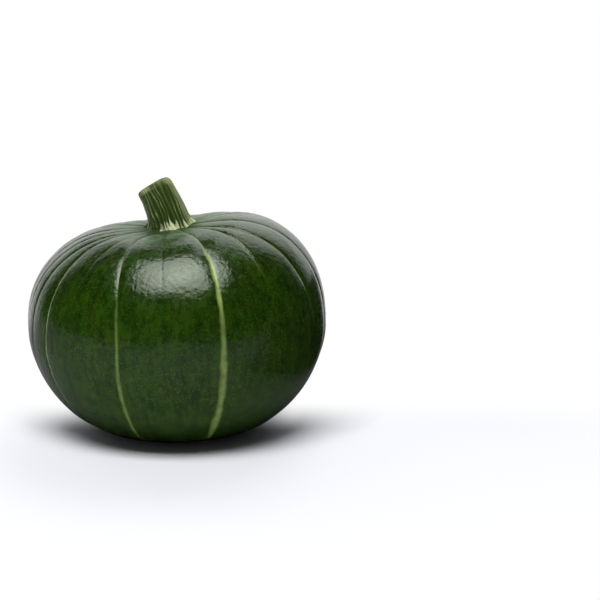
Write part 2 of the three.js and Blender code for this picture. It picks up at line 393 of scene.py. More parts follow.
SETTINGS = {
    "squash_fruit": FruitSizes,
    "squash_stalk": StalkSizes,
    "squash_path": StalkPath,
    "squash_colours": SquashColours,
    "squash_stage": StageSettings,
}


def named_values(group):
    """The properties of a group by the names that they show."""
    properties = group.bl_rna.properties
    return {properties[key].name: getattr(group, key) for key in group.__annotations__}


# Values and nodes of a tree


def arithmetic(operation, turned=False):
    """The method by which a wire takes part in a sum, a product or a power."""
    def method(self, other):
        values = (other, self) if turned else (self, other)
        return reckon(self.tree, operation, *values)
    return method


class Wire:
    """A value in a node tree. A sum, product or power of wires adds the nodes that work it out."""

    def __init__(self, tree, socket):
        self.tree = tree
        self.socket = socket

    __add__, __radd__ = arithmetic("ADD"), arithmetic("ADD", turned=True)
    __sub__, __rsub__ = arithmetic("SUBTRACT"), arithmetic("SUBTRACT", turned=True)
    __mul__, __rmul__ = arithmetic("MULTIPLY"), arithmetic("MULTIPLY", turned=True)
    __truediv__, __rtruediv__ = arithmetic("DIVIDE"), arithmetic("DIVIDE", turned=True)
    __pow__ = arithmetic("POWER")

    def __neg__(self):
        return reckon(self.tree, "MULTIPLY", self, -1)

    def apply(self, operation, *others):
        """The wire put through one of the math node's other operations."""
        return reckon(self.tree, operation, self, *others)


def feed(tree, socket, value):
    """Links a wire to a socket, or sets the socket to a value. A colour is given as three numbers."""
    if isinstance(value, Wire):
        tree.links.new(value.socket, socket)
    elif socket.type == "RGBA":
        socket.default_value = (*value, 1.0)
    else:
        socket.default_value = value


def dress(tree, node, values):
    """Feeds a node's inputs, by name or by number."""
    for key, value in values.items():
        feed(tree, node.inputs[key], value)


def add_node(tree, kind, feeds=None, **settings):
    """A new node with its settings, and its inputs fed by name or by number."""
    node = tree.nodes.new(kind)
    for name, value in settings.items():
        setattr(node, name, value)
    dress(tree, node, feeds or {})
    return node


def wire(tree, kind, feeds=None, output=0, **settings):
    """One output of a new node."""
    return Wire(tree, add_node(tree, kind, feeds, **settings).outputs[output])


def reckon(tree, operation, *values):
    """The math node's answer for the values."""
    return wire(tree, "ShaderNodeMath", dict(enumerate(values)), operation=operation)


def ease(value, low, high):
    """0 up to low, 1 from high on, and a smooth rise between them."""
    feeds = {"Value": value, "From Min": low, "From Max": high}
    return wire(value.tree, "ShaderNodeMapRange", feeds, interpolation_type="SMOOTHSTEP")


def between(share, low, high):
    """The value that lies at a share of the way from low to high."""
    return low + share * (high - low)


def combine(x, y, z):
    """A vector of three values, at least one of them a wire."""
    tree = next(value.tree for value in (x, y, z) if isinstance(value, Wire))
    return wire(tree, "ShaderNodeCombineXYZ", {"X": x, "Y": y, "Z": z})


def split(vector):
    """A vector's three values."""
    node = add_node(vector.tree, "ShaderNodeSeparateXYZ", {"Vector": vector})
    return [Wire(vector.tree, node.outputs[axis]) for axis in ("X", "Y", "Z")]


def vectors(operation, *values, output=0):
    """The vector math node's answer for the values, the first one a wire."""
    feeds = dict(enumerate(values))
    return wire(values[0].tree, "ShaderNodeVectorMath", feeds, output, operation=operation)


def scaled(vector, factor):
    """A vector made longer by a factor."""
    return wire(
        vector.tree, "ShaderNodeVectorMath", {"Vector": vector, "Scale": factor}, operation="SCALE"
    )


def noise(vector, scale, detail=2.0, roughness=0.5):
    """Smooth noise between about 0 and 1."""
    feeds = {"Vector": vector, "Scale": scale, "Detail": detail, "Roughness": roughness}
    return wire(vector.tree, "ShaderNodeTexNoise", feeds)


def mix_colours(factor, low, high):
    """A colour between two others."""
    feeds = {0: factor, 6: low, 7: high}
    return wire(factor.tree, "ShaderNodeMix", feeds, 2, data_type="RGBA")


# Geometry node trees


def new_geometry_tree(name, values):
    """A geometry tree with an input for each named value. Returns the tree and the inputs' wires."""
    tree = bpy.data.node_groups.new(name, "GeometryNodeTree")
    face = tree.interface
    face.new_socket(name="Geometry", in_out="INPUT", socket_type="NodeSocketGeometry")
    for label, value in values.items():
        kind = "NodeSocketInt" if isinstance(value, int) else "NodeSocketFloat"
        face.new_socket(name=label, in_out="INPUT", socket_type=kind).default_value = value
    face.new_socket(name="Ground", in_out="INPUT", socket_type="NodeSocketObject")
    face.new_socket(name="Material", in_out="INPUT", socket_type="NodeSocketMaterial")
    face.new_socket(name="Geometry", in_out="OUTPUT", socket_type="NodeSocketGeometry")
    group_in = tree.nodes.new("NodeGroupInput")
    return tree, {socket.name: Wire(tree, socket) for socket in group_in.outputs if socket.name}


def finish_tree(tree, geometry, place, material):
    """Ends a tree: points in place, closed seams, smooth faces, real geometry and the material."""
    moved = wire(tree, "GeometryNodeSetPosition", {"Geometry": geometry, "Position": place})
    closed = wire(tree, "GeometryNodeMergeByDistance", {"Geometry": moved, "Distance": SEAM_GAP})
    smooth = wire(tree, "GeometryNodeSetShadeSmooth", {"Geometry": closed})
    real = wire(tree, "GeometryNodeRealizeInstances", {"Geometry": smooth})
    dressed = wire(tree, "GeometryNodeSetMaterial", {"Geometry": real, "Material": material})
    group_out = tree.nodes.new("NodeGroupOutput")
    tree.links.new(dressed.socket, group_out.inputs[0])


def grow(name, seed_data, tree, values):
    """Runs a tree on the seed data and returns its result as a plain mesh object with no modifier."""
    seed = bpy.data.objects.new(name + "_seed", seed_data)
    bpy.context.scene.collection.objects.link(seed)
    modifier = seed.modifiers.new("Grow", "NODES")
    modifier.node_group = tree
    for item in tree.interface.items_tree:
        if item.in_out == "INPUT" and item.name in values:
            modifier[item.identifier] = values[item.name]
    bpy.context.view_layer.update()
    grown = seed.evaluated_get(bpy.context.evaluated_depsgraph_get())
    mesh = bpy.data.meshes.new_from_object(grown)
    bpy.data.objects.remove(seed)
    if not mesh.polygons:
        raise RuntimeError(f"{name} grew no faces")
    mesh.name = name
    piece = bpy.data.objects.new(name, mesh)
    bpy.context.scene.collection.objects.link(piece)
    return piece


def grid_of(tree, columns, rows):
    """A flat grid of mesh, with each point's column and row."""
    feeds = {"Size X": 1.0, "Size Y": 1.0, "Vertices X": columns, "Vertices Y": rows}
    grid = wire(tree, "GeometryNodeMeshGrid", feeds)
    across, along, _ = split(wire(tree, "GeometryNodeInputPosition"))
    column = ((across + 0.5) * (columns - 1)).apply("ROUND")
    row = ((along + 0.5) * (rows - 1)).apply("ROUND")
    return grid, column, row


def store(tree, geometry, values, data_type="FLOAT"):
    """The geometry with named values kept on its points."""
    for name, value in values.items():
        feeds = {"Geometry": geometry, "Name": name, "Value": value}
        settings = {"data_type": data_type, "domain": "POINT"}
        geometry = wire(tree, "GeometryNodeStoreNamedAttribute", feeds, **settings)
    return geometry


# The fruit


def all_grooves():
    """Every groove of the fruit, front and back, as dictionaries of GROOVE_FIELDS."""
    grooves = [dict(zip(GROOVE_FIELDS, values)) for values in FRONT_GROOVES]
    for index in range(BACK_COUNT):
        even = BACK_FROM + (BACK_TO - BACK_FROM) * index / (BACK_COUNT - 1)
        kind = BACK_SHORT if index % BACK_SHORT_EVERY == 1 else BACK_LONG
        grooves.append({
            "bearing": even + BACK_SWAY * math.sin(BACK_SWAY_TURN * index),
            "drift": BACK_DRIFT * math.cos(BACK_DRIFT_TURN * index),
            "pale_width": BACK_PALE_WIDTH,
            "pale_step": BACK_PALE_STEP,
            **kind,
        })
    for groove in grooves:
        for field in ("depth", "pale_width", "pale_step"):
            groove[field] *= MM
    return grooves


def groove_points(grooves, radius):
    """A mesh with one point on the equator for each groove, which carries the groove's values."""
    turns = [math.radians(groove["bearing"]) for groove in grooves]
    points = [(radius * math.sin(turn), -radius * math.cos(turn), 0) for turn in turns]
    mesh = bpy.data.meshes.new("groove points")
    mesh.from_pydata(points, [], [])
    for field in GROOVE_FIELDS:
        attribute = mesh.attributes.new(field, "FLOAT", "POINT")
        attribute.data.foreach_set("value", [groove[field] for groove in grooves])
    return mesh


def groove_at(tree, ports, index, latitude):
    """The values of the groove with an index, with its bearing and depth at a latitude."""
    values = {}
    for field in GROOVE_FIELDS:
        own = wire(tree, "GeometryNodeInputNamedAttribute", {"Name": field}, data_type="FLOAT")
        feeds = {"Geometry": ports["Geometry"], "Value": own, "Index": index}
        values[field] = wire(tree, "GeometryNodeSampleIndex", feeds, data_type="FLOAT")
    above = latitude.apply("MAXIMUM", 0).apply("MINIMUM", DRIFT_END) / DRIFT_LATITUDE
    values["bearing"] = values["bearing"] + values["drift"] * above * above
    fade = ease(latitude, values["end"], values["end"] + FADE_SPAN)
    values["depth"] = values["depth"] * fade
    values["pale"] = between(ease(latitude, *STRIPE_TURN), values["pale"], values["pale_high"])
    return values


def smooth_body(ports, latitude, bearing):
    """The place on the smooth body, and how far out it lies as a share of the radius."""
    upper = latitude.apply("GREATER_THAN", 0)
    fullness = between(upper, ports["Lower Fullness"], ports["Upper Fullness"])
    radians = latitude.apply("RADIANS")
    reach = radians.apply("COSINE").apply("MAXIMUM", 0) ** (2 / fullness)
    sine = radians.apply("SINE").apply("ABSOLUTE")
    turn = bearing.apply("RADIANS")
    x = ports["Body Radius"] * reach * turn.apply("SINE")
    y = -(ports["Body Radius"] * reach * turn.apply("COSINE"))
    tilt = ports["Right Shoulder Rise"] * reach * turn.apply("SINE")
    oval = ports["Side Shoulder Rise"] * reach * (turn * 2).apply("COSINE")
    height = sine ** (2 / fullness)
    inner = 1 - reach * reach
    dome = ports["Crown Height"] * height * (1 + tilt - oval)
    hollow = ports["Hollow Depth"] * inner ** ports["Hollow Power"]
    flattening = ports["Flattening Depth"] * inner ** ports["Flattening Power"]
    in_dimple = (ports["Body Radius"] * reach / ports["Dimple Radius"]).apply("MINIMUM", 1)
    dimple = ports["Dimple Depth"] * (1 - in_dimple * in_dimple) ** 2
    bowl = flattening + dimple - ports["Base Depth"] * height
    z = between(upper, bowl, dome - hollow)
    shifted = x + upper * ports["Crown Shift"] * sine * sine
    return combine(shifted, y, z), reach


def groove_depth(groove, distance, ports, narrowing):
    """How deep a groove presses at a distance from its middle: a steep crease in a gentle valley."""
    softness = ports["Crease Softness"]
    rounded = (distance * distance + softness * softness).apply("SQRT") - softness
    crease = (-rounded / (ports["Crease Half Width"] * narrowing)).apply("EXPONENT")
    aside = distance / (ports["Valley Half Width"] * narrowing)
    valley = (-(aside * aside)).apply("EXPONENT")
    return groove["depth"] * (ports["Crease Share"] * crease + ports["Valley Share"] * valley)


def skin_tree(values, groove_count):
    """The tree that grows the ribbed skin from the groove points."""
    tree, ports = new_geometry_tree("Ribbed squash skin", values)
    columns = ports["Columns"]
    grid, column, row = grid_of(tree, columns * groove_count + 1, ports["Rings"])
    latitude = 180 * (row / (ports["Rings"] - 1)) - 90
    lobe = ((column + 0.5) / columns).apply("FLOOR")
    step = (column - lobe * columns) / columns
    left = groove_at(tree, ports, lobe.apply("FLOORED_MODULO", groove_count), latitude)
    right = groove_at(tree, ports, (lobe + 1).apply("FLOORED_MODULO", groove_count), latitude)
    gap = (right["bearing"] - left["bearing"]).apply("FLOORED_MODULO", 360)
    share = step - ports["Crowding"] * (step * math.tau).apply("SINE") / math.tau
    bearing = left["bearing"] + gap * share
    place, reach = smooth_body(ports, latitude, bearing)

    reach = reach.apply("MAXIMUM", SMALLEST_REACH)
    arc = gap.apply("RADIANS") * reach * ports["Body Radius"]
    from_left = arc * share
    from_right = arc * (1 - share)
    narrowing = reach ** ports["Narrowing"]
    upright = ease(latitude, SHALLOW_LATITUDE, FULL_LATITUDE)
    level = between(upright, ports["Base Groove Share"], 1) * ease(reach, 0, ports["Calm Crown"])
    press = groove_depth(left, from_left, ports, narrowing)
    press = press + groove_depth(right, from_right, ports, narrowing)

    swell = noise(place, 1 / ports["Swell Size"], detail=1.0) - 0.5
    lump = noise(place, 1 / ports["Lump Size"], detail=2.0) - 0.5
    lift = swell * ports["Swell Height"] + lump * ports["Lump Height"]
    lift = lift * ease(reach, 0, ports["Calm Crown"]) - press * level
    outward = vectors("NORMALIZE", place)
    x, y, z = split(vectors("ADD", place, scaled(outward, lift)))
    rested = z.apply("MAXIMUM", -ports["Rest Depth"]) + ports["Rest Depth"]

    near_left = share.apply("LESS_THAN", 0.5)
    side = between(near_left, -from_right, from_left)
    by_groove = 1 - ease(side.apply("ABSOLUTE"), STRIPE_REACH / 2, STRIPE_REACH)
    thinner = 1 - CROWN_FADE * ease(latitude, *CROWN_FADE_LATITUDES)
    fields = ("pale", "pale_width", "pale_step", "end")
    pale, pale_width, pale_step, end = [between(near_left, right[key], left[key]) for key in fields]
    turn = bearing.apply("RADIANS")
    skin = store(tree, grid, {
        "latitude": latitude,
        "groove_side": side,
        "pale": pale * by_groove * thinner * ease(latitude, end, end + FADE_SPAN),
        "pale_width": pale_width * thinner,
        "pale_step": pale_step,
        "from_axis": reach * ports["Body Radius"],
    })
    flow = combine(turn.apply("SINE"), turn.apply("COSINE"), 0)
    skin = store(tree, skin, {"flow": flow}, "FLOAT_VECTOR")
    finish_tree(tree, skin, combine(x, y, rested), ports["Material"])
    return tree


# Materials


def new_group(name, floats, outputs):
    """A shader node group that takes a vector and named numbers. Returns the tree and its wires."""
    tree = bpy.data.node_groups.new(name, "ShaderNodeTree")
    face = tree.interface
    face.new_socket(name="Vector", in_out="INPUT", socket_type="NodeSocketVector")
    for label, value in floats.items():
        face.new_socket(name=label, in_out="INPUT", socket_type="NodeSocketFloat").default_value = value
    for label, kind in outputs.items():
        face.new_socket(name=label, in_out="OUTPUT", socket_type=kind)
    group_in = tree.nodes.new("NodeGroupInput")
    return tree, {socket.name: Wire(tree, socket) for socket in group_in.outputs if socket.name}


def end_group(tree, results):
    """Feeds a group's outputs."""
    group_out = tree.nodes.new("NodeGroupOutput")
    dress(tree, group_out, results)


def mottling_group():
    """Soft patches of one tone in another, with finer ones on their edges."""
    floats = {"Size": 6 * MM, "Contrast": 0.5}
    tree, ports = new_group("Mottling", floats, {"Mask": "NodeSocketFloat"})
    broad = noise(ports["Vector"], 1 / ports["Size"], detail=2.0, roughness=0.5)
    half = ports["Contrast"] / -2 + 0.5
    end_group(tree, {"Mask": ease(broad, half, 1 - half)})
    return tree


def grain_group():
    """Fine relief of small pits and lumps."""
    tree, ports = new_group("Grain", {"Size": 1 * MM}, {"Height": "NodeSocketFloat"})
    fine = noise(ports["Vector"], 1 / ports["Size"], detail=1.5, roughness=0.45)
    end_group(tree, {"Height": fine})
    return tree


def use_group(tree, group, vector, output, **values):
    """One output of a shader group set in a material's tree."""
    return wire(tree, "ShaderNodeGroup", {"Vector": vector, **values}, output, node_tree=group)


def mottled(tree, groups, where, layers):
    """A mask of soft patches for each layer's size and contrast."""
    return [use_group(tree, groups["Mottling"], where, "Mask", **layer) for layer in layers]


def new_material(name):
    """A material with one Principled shader. Returns the material, its tree and the shader."""
    material = bpy.data.materials.new(name)
    material.use_nodes = True
    tree = material.node_tree
    return material, tree, tree.nodes["Principled BSDF"]


def kept(tree, name, output="Fac"):
    """A value that the piece's mesh keeps on its points."""
    return wire(tree, "ShaderNodeAttribute", None, output, attribute_name=name)


def bump(tree, height, distance):
    """A normal roughened by a height."""
    return wire(tree, "ShaderNodeBump", {"Height": height, "Distance": distance, "Strength": 1.0})


def ray_kinds(tree):
    """Three values, each 1 for one kind of ray: the camera's, a mirrored and a scattered one."""
    path = add_node(tree, "ShaderNodeLightPath")
    return [Wire(tree, path.outputs[f"Is {kind} Ray"]) for kind in ("Camera", "Glossy", "Diffuse")]


def rind_material(colours, groups):
    """Glossy dark green rind: mottling, flecks, streaks, a dull crown with a painted pale reflection,
    pale stripes and the scar.
    """
    material, tree, shader = new_material("squash rind")
    where = wire(tree, "ShaderNodeTexCoord", None, "Object")
    latitude = kept(tree, "latitude")
    from_axis = kept(tree, "from_axis")
    from_groove = kept(tree, "groove_side")
    flow = vectors("ADD", kept(tree, "flow", "Vector"), combine(0.0, 0.0, latitude / STREAK_LENGTH))
    streaks = ease(noise(flow, STREAK_SCALE), *STREAK_LEVELS)
    warmth, patches, fine = mottled(tree, groups, where, RIND_PATCHES)
    bright = mix_colours(warmth, colours.rind_green, colours.rind_olive)
    green = mix_colours(patches * 0.35 + fine * 0.35 + streaks * 0.3, colours.rind_dark, bright)
    flecks = ease(noise(where, FLECK_SCALE), *FLECK_LEVELS) * FLECK_SHARE
    flecked = mix_colours(flecks, green, colours.rind_fleck)

    # Round the stalk the rind is duller, and a ring there is painted pale: partly a waxy film, partly a
    # painted reflection
    dull = ease(latitude, *DULL_LATITUDES) * (1 - ease(from_axis + patches * DULL_SWAY, *DULL_RANGE))
    bloom_and_reflection = dull * ease(from_axis + fine * BLOOM_REFLECTION_SWAY, *BLOOM_REFLECTION_RANGE)
    bloom_and_reflection = bloom_and_reflection * between(ease(from_groove.apply("ABSOLUTE"), 0, BLOOM_REFLECTION_GROOVE), 0.5, 1.0)
    with_bloom_and_reflection = mix_colours(bloom_and_reflection * between(fine, *BLOOM_REFLECTION_SHARES), flecked, colours.bloom_and_painted_reflection)

    edge = (noise(where, EDGE_SCALE) - 0.5) * EDGE_SWAY
    uneven = noise(where, WANDER_SCALE, 1.0)
    wander = (uneven - 0.5) * WANDER_SWAY
    off = (from_groove - kept(tree, "pale_step") + wander).apply("ABSOLUTE") + edge
    width = kept(tree, "pale_width") * between(ease(latitude, *WIDE_LATITUDES), WIDE_SHARE, 1.0)
    stripe = 1 - ease(off / (width * between(uneven, *STRIPE_WIDTHS)), *STRIPE_SOFTNESS)
    stripe = stripe * kept(tree, "pale") * between(fine, 0.75, 1.0)
    stripe = stripe * between(ease(noise(where, BREAK_SCALE), *BREAK_LEVELS), *BREAK_SHARES)
    striped = mix_colours(stripe, with_bloom_and_reflection, colours.stripe)

    ragged = from_axis + (noise(where, SCAR_SCALE, 3.0) - 0.5) * SCAR_SWAY
    scar = (1 - ease(latitude, *SCAR_LATITUDES)) * (1 - ease(ragged, *SCAR_RANGE))
    grain = use_group(tree, groups["Grain"], where, "Height", Size=RIND_GRAIN)
    dress(tree, shader, {
        "Base Color": mix_colours(scar, striped, colours.scar),
        "Roughness": between(fine, *RIND_ROUGHNESS) + scar * SCAR_ROUGHNESS + dull * DULL_ROUGHNESS,
        "Normal": bump(tree, grain, RIND_RELIEF),
        "IOR": 1.5,
        "Specular Tint": colours.gleam,
    })
    return material


def stalk_material(colours, groups):
    """Half-dry ribbed stalk: dark between the ribs, pale on the crests and feet, brown on the cut.
    Painted shade darkens it low down, and a painted sheen lightens its right edge.
    """
    material, tree, shader = new_material("squash stalk")
    where = wire(tree, "ShaderNodeTexCoord", None, "Object")
    flow = kept(tree, "flow", "Vector")
    along, rib, cut = [kept(tree, name) for name in ("along", "rib", "cut")]
    across, behind, _ = split(flow)
    upright = combine(0.0, 0.0, along / FIBRE_LENGTH)
    fibres = noise(vectors("ADD", flow, upright), FIBRE_SCALE, 3.0)
    patches, fine = mottled(tree, groups, where, STALK_PATCHES)
    crest = ease(rib + (fibres - 0.5) * 0.7, *CREST_LEVELS)
    # Painted shade: the ribs are darker towards the foot
    crest = crest * between(ease(along, *PAINTED_SHADE_UP), PAINTED_SHADE_LOW, 1.0)
    green = mix_colours(crest, colours.stalk_valley, colours.stalk_green)
    dry = ease(rib + (fibres - 0.5) * 0.6, *DRY_LEVELS) * between(patches, *DRY_SHARES)
    # At the right edge this adds a painted sheen to the dry crests
    dry = dry + ease(across, *PAINTED_SHEEN_SIDE) * 0.5
    crested = mix_colours(dry, green, colours.stalk_crest_and_sheen)

    front = 1 - ease(behind, *FRONT_SIDE)
    low = 1 - ease(along - rib * 0.1 + (fine - 0.5) * 0.05 - front * 0.03, *FOOT_UP)
    foot = ease(rib * 0.4 + patches * 0.5 + front * 0.25, *FOOT_LEVELS)
    foot = foot * low * ease(across, *FOOT_LEFT_SIDE) * (1 - ease(across, *FOOT_RIGHT_SIDE) * 0.3)
    footed = mix_colours(foot, crested, colours.stalk_foot)
    rim = ease(along, *RIM_UP) * between(patches, *RIM_SHARES) * (1 - cut)
    rimmed = mix_colours(rim, footed, colours.stalk_crest_and_sheen)
    cut_tone = mix_colours(fine, colours.stalk_valley, colours.stalk_cut)
    grain = use_group(tree, groups["Grain"], where, "Height", Size=STALK_GRAIN)
    dress(tree, shader, {
        "Base Color": mix_colours(cut, rimmed, cut_tone),
        "Roughness": between(fine, *STALK_ROUGHNESS) + cut * 0.25,
        "Normal": bump(tree, grain * 0.6 + fibres, STALK_RELIEF),
        "Sheen Weight": 0.7,
        "Sheen Roughness": 0.25,
    })
    return material


# The stalk


def stalk_axis(path, foot):
    """The stalk's way as a Bezier curve from the foot to the cut."""
    curve = bpy.data.curves.new("stalk way", "CURVE")
    curve.dimensions = "3D"
    curve.resolution_u = AXIS_STEPS
    spline = curve.splines.new("BEZIER")
    spline.bezier_points.add(1)
    top = foot + Vector(path.rise)
    middle = foot + Vector(path.rise) / 2 + Vector(path.bow)
    start, end = spline.bezier_points
    for point, place in ((start, foot), (end, top)):
        point.handle_left_type = point.handle_right_type = "FREE"
        point.co = place
        point.handle_left = point.handle_right = place + (middle - place) * 2 / 3
    return curve


def stalk_tree(values):
    """The tree that grows the ribbed stalk along its way and sets its feet on the ground object."""
    tree, ports = new_geometry_tree("Ribbed stalk", values)
    rows = ports["Under Rows"] + ports["Side Rows"] + ports["Cut Rows"] + 1
    grid, column, row = grid_of(tree, ports["Columns"] + 1, rows)
    under = (row / ports["Under Rows"]).apply("MINIMUM", 1)
    above = row - ports["Under Rows"]
    along = (above / ports["Side Rows"]).apply("MAXIMUM", 0).apply("MINIMUM", 1)
    across = ((above - ports["Side Rows"]) / ports["Cut Rows"]).apply("MAXIMUM", 0)
    turn = column / ports["Columns"] * math.tau
    cosine, sine = turn.apply("COSINE"), turn.apply("SINE")

    flare = ports["Flare"] * (-along / ports["Flare Reach"]).apply("EXPONENT")
    frontward, rightward = (-sine).apply("MAXIMUM", 0), cosine.apply("MAXIMUM", 0)
    flare = flare * between(frontward, 1, ports["Flare Front"])
    flare = flare * between(rightward, 1, ports["Flare Right"])
    spread = ports["Right Spread"] * rightward * rightward * (ports["Right Upper"] + (1 - along) ** 2)
    radius = ports["Waist Radius"] - ports["Taper"] * along + flare + spread
    sway = (noise(combine(cosine, sine, along), RIB_SWAY_SCALE, 1.0) - 0.5) * ports["Rib Wander"]
    twisted = turn + ports["Rib Twist"] * along + sway
    wave = (0.5 + 0.5 * (twisted * ports["Rib Count"]).apply("COSINE")) ** RIB_SHARPNESS
    angle = ((turn - ports["Angle Turn"]) * ports["Angle Count"]).apply("COSINE")
    uneven = noise(combine(cosine * 3, sine * 3, along / 2), RIB_UNEVEN_SCALE)
    rib = wave * between(ease(uneven, 0.3, 0.7), *RIB_SHARES)
    feet = ((turn + FEET_TURN) * (ports["Angle Count"] * 2)).apply("COSINE")
    scallop = ports["Scallop"] * (1 - ease(along, 0, FEET_UP)) * feet
    relief = (rib - RIB_MIDDLE) * ports["Rib Height"] * 2 + angle * ports["Angle Height"] + scallop

    round_edge = ports["Rim Round"] * (1 + ports["Rim Side"] * rightward * rightward)
    inward = across * across * (radius - round_edge) + (across * 4).apply("MINIMUM", 1) * round_edge
    left_round = (round_edge - inward).apply("MAXIMUM", 0)
    drop = round_edge - (round_edge ** 2 - left_round * left_round).apply("SQRT")
    hollow = ports["Cut Hollow"] * ease(inward, 0, radius)
    out = under * (radius - inward + relief * (1 - inward / radius))

    feeds = {"Curves": ports["Geometry"], "Factor": along}
    sample = add_node(tree, "GeometryNodeSampleCurve", feeds, mode="FACTOR", use_all_curves=True)
    centre, direction = [Wire(tree, sample.outputs[name]) for name in ("Position", "Tangent")]
    lean, _, _ = split(direction)
    right = vectors("NORMALIZE", vectors("ADD", scaled(direction, -lean), (1.0, 0.0, 0.0)))
    back = vectors("CROSS_PRODUCT", direction, right)
    place = vectors("ADD", centre, scaled(right, out * cosine))
    place = vectors("ADD", place, scaled(back, out * sine * ports["Depth Share"]))
    x, y, z = split(vectors("ADD", place, scaled(direction, -(drop + hollow))))

    ground = wire(tree, "GeometryNodeObjectInfo", {"Object": ports["Ground"]}, "Geometry")
    feeds = {
        "Target Geometry": ground, "Source Position": combine(x, y, RAY_START),
        "Ray Direction": (0, 0, -1), "Ray Length": RAY_START,
    }
    _, _, ground_height = split(wire(tree, "GeometryNodeRaycast", feeds, "Hit Position"))
    way_length = wire(tree, "GeometryNodeCurveLength", {"Curve": ports["Geometry"]})
    lifted = ground_height - ports["Sink"] + along * way_length
    height = between(1 - ease(along, 0, ports["Foot Top"]), z, lifted)

    cut = ease(inward, round_edge * 0.1, round_edge * 0.5)
    stalk = store(tree, grid, {"along": along, "rib": rib, "cut": cut})
    stalk = store(tree, stalk, {"flow": combine(cosine, sine, 0)}, "FLOAT_VECTOR")
    finish_tree(tree, stalk, combine(x, y, height), ports["Material"])
    return tree


def shared_groups():
    """The shader groups that more than one material uses, built once."""
    makers = {"Mottling": mottling_group, "Grain": grain_group}
    return {name: bpy.data.node_groups.get(name) or make() for name, make in makers.items()}


# The operators


class SQUASH_OT_fruit(bpy.types.Operator):
    """Grow the ribbed fruit with its grooves, stripes and blossom scar"""

    bl_idname = "squash.fruit"
    bl_label = "Fruit"

    def execute(self, context):
        scene = context.scene
        values = named_values(scene.squash_fruit)
        grooves = all_grooves()
        tree = skin_tree(values, len(grooves))
        values["Material"] = rind_material(scene.squash_colours, shared_groups())
        points = groove_points(grooves, scene.squash_fruit.body_radius)
        piece = grow(FRUIT_PIECE, points, tree, values)
        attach(piece, BODY)
        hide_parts(FRUIT_NODE)
        return {"FINISHED"}


class SQUASH_OT_stalk(bpy.types.Operator):
    """Grow the ribbed stalk on the fruit's crown"""

    bl_idname = "squash.stalk"
    bl_label = "Stalk"

    def execute(self, context):
        scene = context.scene
        values = named_values(scene.squash_stalk)
        tree = stalk_tree(values)
        values["Material"] = stalk_material(scene.squash_colours, shared_groups())
        fruit = bpy.data.objects[FRUIT_PIECE]
        values["Ground"] = fruit
        start = Vector((scene.squash_fruit.crown_shift, scene.squash_path.back, RAY_START))
        struck, crown, _, _ = fruit.ray_cast(start, Vector((0, 0, -1)))
        if not struck:
            raise RuntimeError("the fruit has no crown under the stalk")
        piece = grow(STALK_PIECE, stalk_axis(scene.squash_path, crown), tree, values)
        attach(piece, BODY)
        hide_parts(STEM_NODE)
        return {"FINISHED"}


class SQUASH_OT_stage(bpy.types.Operator):
    """Lay the pale floor, hang the soft light and set the camera"""

    bl_idname = "squash.stage"
    bl_label = "Stage"

    def execute(self, context):
        settings = context.scene.squash_stage
        lay_floor(settings)
        light_room(context.scene, settings)
        hang_softbox(settings)
        hang_key(settings)
        stand_flag(settings)
        set_camera(context.scene, settings)
        return {"FINISHED"}


def lay_floor(settings):
    """A pale round floor."""
    turns = [math.tau * side / FLOOR_SIDES for side in range(FLOOR_SIDES)]
    radius = settings.floor_radius
    points = [(radius * math.cos(turn), radius * math.sin(turn), FLOOR_LEVEL) for turn in turns]
    make_card("floor", points, floor_material(settings))


def make_card(name, points, material):
    """A flat face through the points, in the scene as an object."""
    mesh = bpy.data.meshes.new(name)
    mesh.from_pydata(points, [], [range(len(points))])
    mesh.materials.append(material)
    card = bpy.data.objects.new(name, mesh)
    bpy.context.scene.collection.objects.link(card)
    return card


def floor_material(settings):
    """Matt white, lit from behind the squash, and fading into the background that the camera sees."""
    material, tree, shader = new_material("pale floor")
    where = wire(tree, "ShaderNodeTexCoord", None, "Object")
    side, back, _ = split(where)
    far = vectors("LENGTH", where, output="Value")
    by_camera, in_gloss, in_bounce = ray_kinds(tree)
    calm = [value * settings.floor_calm for value in settings.floor_paint]
    # The floor as the gloss mirrors it gets painted shadow: at the right of the squash and close round it
    right_shade = ease(side, *SHADE_RIGHT) * ease(back, *SHADE_BACK) * SHADE_SHARE
    near_shade = 1 - ease(far, *NEAR_ROUND)
    shade = 1 - (1 - right_shade) * (1 - near_shade * NEAR_SHARE)
    calmed = mix_colours(shade, calm, (0.0, 0.0, 0.0))
    # For scattered rays the floor glows away from the squash, less at the right: painted bounce light
    left_share = 1 - ease(side, *BOUNCE_RIGHT) * BOUNCE_LESS
    bounce = in_bounce * ease(far, *BOUNCE_ROUND) * left_share * settings.floor_bounce
    far_glow = ease(back, *GLOW_BACK) * settings.backdrop_glow + bounce
    mirrored_glow = ease(back / far, *MIRROR_WAY) * ease(far, *MIRROR_ROUND) * MIRROR_GLOW
    glow = between(in_gloss, far_glow, mirrored_glow)
    # Beside the squash the camera sees the floor painted white, which paints out the shadow there
    beside = ease(back, *BESIDE_BACK) * ease(side.apply("ABSOLUTE"), *BESIDE_SIDE)
    faded = 1 - (1 - ease(far, *FADE_ROUND)) * (1 - beside)
    tone = mix_colours(in_gloss, settings.floor_paint, calmed)
    dress(tree, shader, {"Base Color": tone, "Roughness": 0.9, "Specular IOR Level": 0.0})
    lit = add_node(tree, "ShaderNodeEmission", {"Strength": glow})
    seen = add_node(tree, "ShaderNodeEmission", {"Color": settings.air})
    both = add_node(tree, "ShaderNodeAddShader")
    tree.links.new(shader.outputs[0], both.inputs[0])
    tree.links.new(lit.outputs[0], both.inputs[1])
    mix = add_node(tree, "ShaderNodeMixShader", {"Fac": by_camera * faded})
    tree.links.new(both.outputs[0], mix.inputs[1])
    tree.links.new(seen.outputs[0], mix.inputs[2])
    tree.links.new(mix.outputs[0], tree.nodes["Material Output"].inputs["Surface"])
    return material


